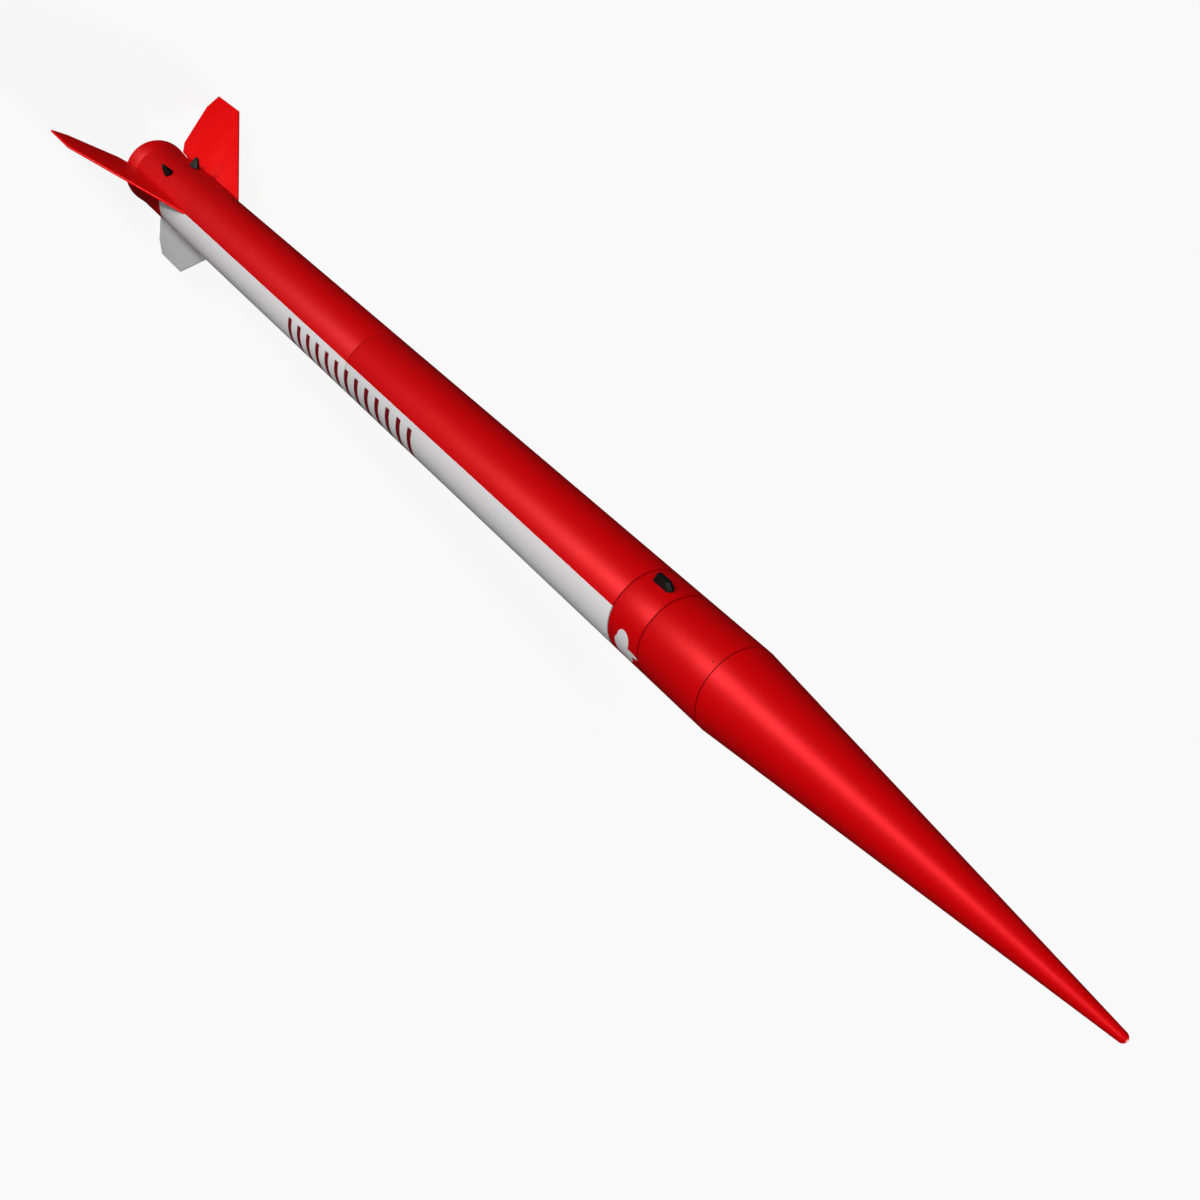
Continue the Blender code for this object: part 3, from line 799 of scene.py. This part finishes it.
def motor():
    low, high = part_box("motor_casing")
    outer = (high.x - low.x) / 2
    inner = CASING_BORE
    wrap = card("casing_paper", (0.60, 0.45, 0.28), (0.45, 0.31, 0.18), 0.03)
    casing = ring_profile(outer, inner, low.z, high.z, 0.0003)
    turned_piece("casing", "motor_casing", casing, wrap, "motor", "motor_paper", steps=SMALL_STEPS)
    base = low.z
    fill = inner - CLEARANCE
    clay = pressed("nozzle_clay", (0.50, 0.46, 0.41), (0.40, 0.36, 0.32))
    nozzle = [
        (fill, base + 0.011),
        (fill, base + 0.0012),
        (0.0072, base + 0.0009, 0.001),
        (0.0046, base + 0.0012, 0.0012),
        (NOZZLE_THROAT, base + 0.0062, 0.001),
        (NOZZLE_THROAT, base + 0.011),
    ]
    nozzle = rounded(nozzle, 0.0002)
    turned_piece("nozzle", "motor_nozzle", nozzle, clay, "motor", "clay", steps=SMALL_STEPS)
    powder = pressed("grain_powder", (0.05, 0.05, 0.05), (0.015, 0.015, 0.015))
    slow = pressed("delay_powder", (0.22, 0.21, 0.19), (0.12, 0.11, 0.10))
    parts = {
        "propellant_grain": (powder, "charge"),
        "delay_grain": (slow, "delay"),
        "ejection_charge": (powder, "charge"),
        "motor_end_cap": (clay, "clay"),
    }
    for node, (look, slot) in parts.items():
        low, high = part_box(node)
        profile = [(0, high.z), (fill, high.z), (fill, low.z), (0, low.z)]
        if node == "propellant_grain":
            profile = profile[:3] + [(NOZZLE_THROAT, low.z), (0.0008, low.z + 0.0067), (0, low.z + 0.0067)]
        if node == "motor_end_cap":
            profile[0] = (0, high.z - 0.0006)
        turned_piece(node + "_fill", node, profile, look, "motor", slot, closed=False, steps=SMALL_STEPS)


# ---------------------------------------------------------------- recovery gear


def wadding():
    """Crumpled tissue: a lumpy plug."""
    low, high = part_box("recovery_wadding")
    radius = (high.x - low.x) / 2
    middle = (low.z + high.z) / 2
    half = (high.z - low.z) / 2
    shape = bmesh.new()
    bmesh.ops.create_icosphere(shape, subdivisions=5, radius=1)
    chance = random.Random(7)
    folds = [
        (Vector([chance.uniform(-1, 1) for _ in range(3)]).normalized(), chance.uniform(3, 9))
        for _ in range(26)
    ]
    for vert in shape.verts:
        ray = vert.co.normalized()
        crease = sum(abs(math.sin(rate * ray.dot(axis))) for axis, rate in folds) / len(folds)
        flat = max(abs(ray.z), math.hypot(ray.x, ray.y))
        size = (0.80 + 0.20 * crease) / flat
        across = size * radius
        vert.co = (AXIS.x + ray.x * across, AXIS.y + ray.y * across, middle + ray.z * size * half)
    mesh = made_mesh(shape, "wadding")
    smooth(mesh, 70)
    add("wadding", mesh, tissue("wadding_tissue"), "airframe", "wadding_paper", "recovery_wadding")


# The canopy is a hexagon of this size across its flats, rolled round an empty core.
CANOPY_SIZE = 0.26
HEXAGON_SHARE = 0.866
CANOPY_AREA = HEXAGON_SHARE * CANOPY_SIZE**2
CANOPY_CORE = 0.0015
CANOPY_INSET = 0.0012
CANOPY_FOOT = 0.002
CANOPY_HEADROOM = 0.010
WRAP_FROM = 0.30
WRAP_SHARE = 0.30
CANOPY_STEPS = 26
WRAP_TURNS = 5
WRAP_STEPS = 160
WRAP_RADIUS = 0.0004
LINES = 6
LINE_STEPS = 12
LINE_RADIUS = 0.0003
CORD_RADIUS = 0.00105
CORD_INSET = 0.0042
CORD_STEPS = 14


def parachute():
    """The canopy rolled up, with a winding of line round it and six lines up to the clip."""
    low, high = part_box("parachute")
    radius = (high.x - low.x) / 2 - CANOPY_INSET
    height = (high.z - low.z) - CANOPY_HEADROOM
    base = low.z + CANOPY_FOOT
    length = CANOPY_AREA / height
    pitch = math.pi * (radius**2 - CANOPY_CORE**2) / length
    shape = bmesh.new()
    turns = (radius - CANOPY_CORE) / pitch
    columns = int(turns * CANOPY_STEPS)
    rows = 14
    grid = []
    for column in range(columns + 1):
        t = column / columns
        angle = 2 * math.pi * turns * t
        reach = CANOPY_CORE + (radius - CANOPY_CORE) * t
        line = []
        for row in range(rows + 1):
            s = row / rows
            pleat = 0.00012 * math.sin(9 * angle + 5 * s)
            pinch = 1 - 0.10 * max(0.0, 2 * s - 1) ** 2
            r = (reach + pleat) * pinch
            z = base + height * s + 0.0006 * math.sin(3 * angle) * (s - 0.5)
            line.append(shape.verts.new(at_turn(angle, r, z)))
        grid.append(line)
    lattice(shape, grid)
    mesh = made_mesh(shape, "canopy")
    smooth(mesh, 80)
    canopy = add("canopy", mesh, film("canopy_film"), "airframe", "chute_film", "parachute")
    cotton = braid("line_cotton", (0.80, 0.80, 0.78), 0.0012)
    wrap = []
    for step in range(WRAP_STEPS + 1):
        t = step / WRAP_STEPS
        angle = 2 * math.pi * WRAP_TURNS * t
        at = base + height * (WRAP_FROM + WRAP_SHARE * t)
        wrap.append(around(math.degrees(angle), radius + 0.0007, at))
    winding = add("line_wrap", strand("line_wrap", wrap, WRAP_RADIUS), cotton, "airframe", "elastic")
    clip_low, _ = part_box("swivel_clip")
    knot = Vector((AXIS.x, AXIS.y, clip_low.z + 0.0004))
    for line in range(LINES):
        foot = around(360 * line / LINES + 10, radius * 0.55, base + height * 0.97)
        points = []
        for step in range(LINE_STEPS + 1):
            t = step / LINE_STEPS
            sway = 0.0009 * math.sin(math.pi * t) * math.cos(5 * t + line)
            points.append(foot.lerp(knot, t) + Vector((sway, -sway, 0)))
        mesh = strand("shroud_line", points, LINE_RADIUS, resolution=2)
        add(f"shroud_line_{line + 1}", mesh, cotton, "airframe", "elastic")


def swivel():
    brass = metal("swivel_brass", (0.72, 0.52, 0.22), 0.25)
    low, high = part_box("swivel_barrel")
    barrel = [
        (0.0012, high.z),
        (0.0020, high.z - 0.0010),
        (0.0016, high.z - 0.0022),
        (0.0020, low.z + 0.0010),
        (0.0012, low.z),
        (0.0007, low.z),
        (0.0007, high.z),
    ]
    barrel = rounded(barrel, 0.0002)
    turned_piece("barrel", "swivel_barrel", barrel, brass, "airframe", "brass_wire", steps=40)
    _, clip_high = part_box("swivel_clip")
    loop = [Vector((AXIS.x, AXIS.y, clip_high.z)), Vector((AXIS.x, AXIS.y, low.z - 0.0008))]
    centre = low.z - 0.0036
    for angle in range(10, 351, 10):
        turn = math.radians(angle)
        loop.append(Vector((AXIS.x + 0.0019 * math.sin(turn), AXIS.y, centre + 0.0028 * math.cos(turn))))
    mesh = strand("clip", loop, 0.0004, resolution=3)
    add("clip", mesh, brass, "swivel_clip", "brass_wire", "swivel_clip")


def shock_cord():
    """The elastic cord, on a smooth curve from the mount on the wall up to the screw eye."""
    wall = RADIUS - TUBE_WALL - CORD_INSET
    _, mount_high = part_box("shock_cord_mount")
    _, cord_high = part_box("shock_cord")
    top = cord_high.z - 0.0009
    route = [
        (wall, 0.0, mount_high.z + 0.0006),
        (wall, 0.0008, TAIL + 0.408),
        (wall, -0.0010, TAIL + 0.430),
        (wall - 0.0002, 0.0016, TAIL + 0.455),
        (wall, -0.0014, TAIL + 0.490),
        (wall - 0.0004, 0.0010, TAIL + 0.520),
        (wall - 0.0040, 0.0006, TAIL + 0.545),
        (wall - 0.0085, 0.0004, top - 0.012),
        (0.0042, 0.0, top),
    ]
    points = []
    padded = [route[0], *route, route[-1]]
    for i in range(1, len(padded) - 2):
        for step in range(CORD_STEPS):
            t = step / CORD_STEPS
            point = []
            for b, s, e, a in zip(*padded[i - 1 : i + 3]):
                bend = (2 * b - 5 * s + 4 * e - a) * t * t
                twist = (3 * s - b - 3 * e + a) * t**3
                point.append(0.5 * (2 * s + (e - b) * t + bend + twist))
            points.append(point)
    points.append(route[-1])
    points = [AXIS + Vector(p) for p in points]
    mesh = strand("elastic_cord", points, CORD_RADIUS)
    cord = dressed("elastic_cord", mesh, braid("cord_elastic", (0.78, 0.76, 0.70)))
    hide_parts("shock_cord")
    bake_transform(cord)


def cord_mount():
    """The folded paper glued to the wall: a thin curved slab with a slightly uneven face."""
    low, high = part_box("shock_cord_mount")
    outer = RADIUS - TUBE_WALL - GAP
    shape = bmesh.new()
    columns, rows, half = 16, 10, math.radians(20)
    layers = []
    for depth in (0.0, 0.0004, 0.0009):
        grid = []
        for column in range(columns + 1):
            angle = -half + 2 * half * column / columns
            line = []
            for row in range(rows + 1):
                t = row / rows
                lift = 0.00012 * math.sin(math.pi * t) * math.sin(3 * angle + 2 * t) if depth else 0
                r = outer - depth + lift
                height = low.z + (high.z - low.z) * t
                line.append(shape.verts.new((r * math.cos(angle), r * math.sin(angle), height)))
            grid.append(line)
        layers.append(grid)
    for grid in (layers[0], layers[2]):
        lattice(shape, grid)
    for first, second in zip(layers, layers[1:]):
        for column in range(columns):
            near, far = column, column + 1
            for row in (0, rows):
                shape.faces.new((first[near][row], first[far][row], second[far][row], second[near][row]))
        for row in range(rows):
            for column in (0, columns):
                one, other = first[column], second[column]
                shape.faces.new((one[row], one[row + 1], other[row + 1], other[row]))
    inner = [v for line in layers[1][1:-1] for v in line[1:-1]]
    bmesh.ops.delete(shape, geom=inner, context="VERTS")
    bmesh.ops.recalc_face_normals(shape, faces=shape.faces)
    mesh = made_mesh(shape, "paper_mount")
    mesh.transform(Matrix.Translation(AXIS))
    smooth(mesh, 60)
    paper = card("mount_paper", (0.76, 0.73, 0.66), (0.66, 0.62, 0.54), 0.02)
    add("paper_mount", mesh, paper, "airframe", "mount_paper", "shock_cord_mount")


# ---------------------------------------------------------------- payload section and nose


SCREW_HOLE = 0.0013
EYE_RADIUS = 0.0034


def payload_section():
    inner = RADIUS - TUBE_WALL
    # Painted shadow along the payload tube's two seams.
    seam_shadows = ((PAYLOAD_SEAM + GAP / 2, SEAM_SHADE), (NOSE_SEAM + GAP / 2, SEAM_SHADE))
    paint = red_paint("payload_paint", bare=(inner + 0.0001, KRAFT), seam_shadows=seam_shadows)
    tube = ring_profile(RADIUS, inner, payload_low.z, payload_high.z)
    turned_piece("bay_tube", "payload_tube", tube, paint, "payload_section", "red_card")
    low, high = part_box("payload_shoulder")
    slide = RING_BORE - CLEARANCE
    wall = slide - PLASTIC_WALL
    profile = [
        (SHOULDER, high.z),
        (SHOULDER, payload_low.z),
        (slide, payload_low.z),
        (slide, low.z, 0.0005),
        (wall, low.z),
        (wall, high.z),
    ]
    black = moulded("shoulder_plastic", (0.012, 0.012, 0.013), 0.42)
    profile = rounded(profile, 0.0002)
    turned_piece("bay_shoulder", "payload_shoulder", profile, black, "payload_section", "black_plastic")
    low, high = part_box("payload_bulkhead")
    disc = ring_profile((high.x - low.x) / 2, SCREW_HOLE, low.z, high.z, 0.0002)
    ply = plywood("bulkhead_plywood")
    turned_piece("bay_bulkhead", "payload_bulkhead", disc, ply, "payload_section", "plywood")
    steel = metal("eye_steel", (0.60, 0.60, 0.61), 0.25)
    low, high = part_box("eye_nut")
    shape = bmesh.new()
    rings = []
    for radius, height in (
        (0.0027, low.z),
        (0.0030, low.z + 0.0003),
        (0.0030, high.z - 0.0003),
        (0.0027, high.z),
        (SCREW_HOLE, high.z),
        (SCREW_HOLE, low.z),
    ):
        corners = []
        for corner in range(6):
            turn = math.radians(60 * corner)
            corners.append(shape.verts.new((radius * math.cos(turn), radius * math.sin(turn), height)))
        rings.append(corners)
    for first, second in zip(rings, rings[1:] + rings[:1]):
        belt(shape, first, second)
    bmesh.ops.recalc_face_normals(shape, faces=shape.faces)
    mesh = made_mesh(shape, "hex_nut")
    mesh.transform(Matrix.Translation(AXIS))
    smooth(mesh, 25)
    add("hex_nut", mesh, steel, "payload_section", "steel", "eye_nut")
    low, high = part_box("screw_eye")
    bulkhead_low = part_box("payload_bulkhead")[0].z
    centre = bulkhead_low - EYE_RADIUS - 0.0020
    points = [AXIS + Vector((0, 0, high.z)), AXIS + Vector((0, 0, bulkhead_low - 0.0010))]
    for angle in range(14, 347, 8):
        turn = math.radians(angle)
        points.append(AXIS + Vector((EYE_RADIUS * math.sin(turn), 0, centre + EYE_RADIUS * math.cos(turn))))
    add("eye", strand("eye", points, 0.0010, resolution=6), steel, "payload_section", "steel", "screw_eye")


def nose():
    """A straight cone with a rounded tip, hollow, with a shoulder that plugs into the payload tube."""
    tip = 0.05 * DIAMETER
    centre = NOSE_TIP - tip
    base = NOSE_SEAM + GAP
    span = math.hypot(RADIUS, centre - NOSE_SEAM)
    half = math.atan2(RADIUS, centre - NOSE_SEAM) - math.asin(tip / span)
    inner = SHOULDER - NOSE_WALL
    inner_tip = tip * 0.6
    top = centre - (NOSE_WALL + inner_tip - tip) / math.sin(half)
    profile = [(0, NOSE_TIP)]
    for step in range(1, 13):
        angle = math.pi / 2 + (half - math.pi / 2) * step / 12
        profile.append((tip * math.cos(angle), centre + tip * math.sin(angle)))
    edge = 0.00018
    slope = math.tan(half)
    profile += [(RADIUS - 2 * edge * slope, base + 2 * edge), (RADIUS, base + edge), (RADIUS - edge, base)]
    profile += [(SHOULDER, base), (SHOULDER, nose_low.z + 0.0006), (SHOULDER - 0.0006, nose_low.z)]
    profile += [(inner, nose_low.z), (inner, base)]
    for step in range(7):
        angle = half + (math.pi / 2 - half) * step / 6
        profile.append((inner_tip * math.cos(angle) if step < 6 else 0, top + inner_tip * math.sin(angle)))
    turned_piece("cone", "nose_cone", profile, nose_paint(), "nose", "red_plastic", closed=False)
    low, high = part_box("nose_weight")
    chance = random.Random(3)
    # Each lump is two phases and a rate.
    lumps = [(chance.uniform(0, 6.28), chance.uniform(0, 6.28), chance.uniform(2, 6)) for _ in range(9)]
    shape = bmesh.new()
    rows, columns = 40, 48
    foot = (high.x - low.x) / 2
    head = foot - (high.z - low.z) * slope
    grid = []
    for row in range(rows + 1):
        t = row / rows
        line = []
        for column in range(columns):
            angle = 2 * math.pi * column / columns
            waves = [math.sin(rate * angle + a + 9 * t * math.sin(b)) for a, b, rate in lumps]
            dent = sum(waves) / len(lumps)
            r = (foot + (head - foot) * t) * (0.93 + 0.06 * dent) * min(1, 6 * t + 0.3) ** 0.3
            line.append(shape.verts.new(at_turn(angle, r, low.z + (high.z - low.z) * t)))
        grid.append(line)
    for first, second in zip(grid, grid[1:]):
        belt(shape, first, second)
    shape.faces.new(grid[0][::-1])
    shape.faces.new(grid[-1])
    bmesh.ops.recalc_face_normals(shape, faces=shape.faces)
    mesh = made_mesh(shape, "ballast")
    smooth(mesh, 60)
    clay = pressed("ballast_clay", (0.33, 0.31, 0.28), (0.22, 0.20, 0.18), 300)
    add("ballast", mesh, clay, "nose", "nose_clay", "nose_weight")


# ---------------------------------------------------------------- studio


def aimed(heading, pitch, roll=0.0):
    """A rotation that looks along a compass heading and pitch, in degrees, then rolls about that line."""
    turn, lift = math.radians(heading), math.radians(pitch)
    ahead = Vector((math.cos(lift) * math.cos(turn), math.cos(lift) * math.sin(turn), math.sin(lift)))
    level = ahead.to_track_quat("-Z", "Y").to_matrix().to_4x4()
    return level @ Matrix.Rotation(math.radians(roll), 4, "Z")


# The camera, fitted to the photograph. Angles are in degrees and distances in body diameters.
CAMERA_ANGLE, CAMERA_OUT, CAMERA_HEIGHT = -52.95, 12.281, 25.064
CAMERA_HEADING, CAMERA_PITCH, CAMERA_ROLL = 125.897, -42.543, 132.646
CAMERA_LENS = 47.27


def camera():
    """Stands beyond the nose, twelve diameters out from the axis, looking back down the body."""
    data = bpy.data.cameras.new("camera")
    data.lens = CAMERA_LENS
    data.sensor_width = 36
    data.clip_start = 0.02
    data.clip_end = 60
    made = linked("camera", data)
    at = around(CAMERA_ANGLE, CAMERA_OUT * DIAMETER, station(CAMERA_HEIGHT))
    made.matrix_world = Matrix.Translation(at) @ aimed(CAMERA_HEADING, CAMERA_PITCH, CAMERA_ROLL)
    bpy.context.scene.camera = made


# Each sun's compass angle, lift, strength and size, fitted to the photograph's shading.
SUNS = {
    "key": (-60, 45, 1.9, 4),
    "low_fill": (-50, -25, 1.2, 20),
    "sheen": (-52, -22, 3.4, 25),
    "side": (-25, 0, 0.40, 10),
    "back": (127, 40, 2.4, 20),
}
FLOOR_SHADE = 0.05
FLOOR_GLOW = 0.90
ROOM_SHADE = 0.06
BACKDROP_SHADE = 0.94
REFLECTED_ROOM = 0.12


def sun(name, angle, lift, strength, size):
    data = bpy.data.lights.new(name, "SUN")
    data.energy = strength
    data.angle = math.radians(size)
    made = linked(name, data)
    made.matrix_world = Matrix.Translation((0, 0, 2)) @ aimed(angle + 180, -lift)
    made.visible_glossy = name != "low_fill"
    made.visible_diffuse = name != "sheen"


def studio():
    """A pale floor and backdrop for the camera, a dim room for everything else, and the suns."""
    shape = bmesh.new()
    bmesh.ops.create_grid(shape, x_segments=1, y_segments=1, size=30)
    floor_mesh = made_mesh(shape, "floor")
    floor = linked("floor", floor_mesh)
    floor.location.z = -0.0002
    floor.visible_shadow = False
    floor.visible_glossy = False
    look = bpy.data.materials.new("floor_paper")
    look.use_nodes = True
    tree = look.node_tree
    shader = tree.nodes["Principled BSDF"]
    shader.inputs["Base Color"].default_value = (FLOOR_SHADE, FLOOR_SHADE, FLOOR_SHADE, 1)
    shader.inputs["Roughness"].default_value = 1.0
    shader.inputs["Specular IOR Level"].default_value = 0.0
    shader.inputs["Emission Color"].default_value = (1, 1, 1, 1)
    rays = tree.nodes.new("ShaderNodeLightPath")
    glow = tree.nodes.new("ShaderNodeMath")
    glow.operation = "MULTIPLY"
    glow.inputs[1].default_value = FLOOR_GLOW
    tree.links.new(rays.outputs["Is Camera Ray"], glow.inputs[0])
    tree.links.new(glow.outputs[0], shader.inputs["Emission Strength"])
    floor_mesh.materials.append(look)

    world = bpy.data.worlds.new("studio")
    bpy.context.scene.world = world
    world.use_nodes = True
    tree = world.node_tree
    tree.nodes.clear()
    output = tree.nodes.new("ShaderNodeOutputWorld")
    mixed = tree.nodes.new("ShaderNodeMixShader")
    soft = tree.nodes.new("ShaderNodeBackground")
    soft.inputs["Color"].default_value = (ROOM_SHADE, ROOM_SHADE, ROOM_SHADE, 1)
    pale = tree.nodes.new("ShaderNodeBackground")
    pale.inputs["Color"].default_value = (BACKDROP_SHADE, BACKDROP_SHADE, BACKDROP_SHADE, 1)
    rays = tree.nodes.new("ShaderNodeLightPath")
    tree.links.new(rays.outputs["Is Camera Ray"], mixed.inputs["Fac"])
    dim = tree.nodes.new("ShaderNodeMapRange")
    tree.links.new(rays.outputs["Is Glossy Ray"], dim.inputs["Value"])
    dim.inputs["To Min"].default_value = 1.0
    dim.inputs["To Max"].default_value = REFLECTED_ROOM
    tree.links.new(dim.outputs["Result"], soft.inputs["Strength"])
    tree.links.new(soft.outputs[0], mixed.inputs[1])
    tree.links.new(pale.outputs[0], mixed.inputs[2])
    tree.links.new(mixed.outputs[0], output.inputs["Surface"])

    for name, facts in SUNS.items():
        sun(name, *facts)
    bpy.context.scene.view_settings.view_transform = "Standard"


camera()
studio()
body_tubes()
tail_skirt()
lug_ring()
fins()
lug("front_block", "front_lug", *FRONT_LUG, -90)
lug("rear_peg_left", "rear_lug_left", *REAR_LUG, -65)
lug("rear_peg_right", "rear_lug_right", *REAR_LUG, -115)
small_screw("skin_screw_1", station(15.86), -60, "payload_section")
small_screw("skin_screw_2", station(14.90), -103, "airframe")
small_screw("skin_screw_3", station(14.44), -118, "airframe")
motor_mount()
motor()
wadding()
parachute()
swivel()
shock_cord()
cord_mount()
payload_section()
nose()
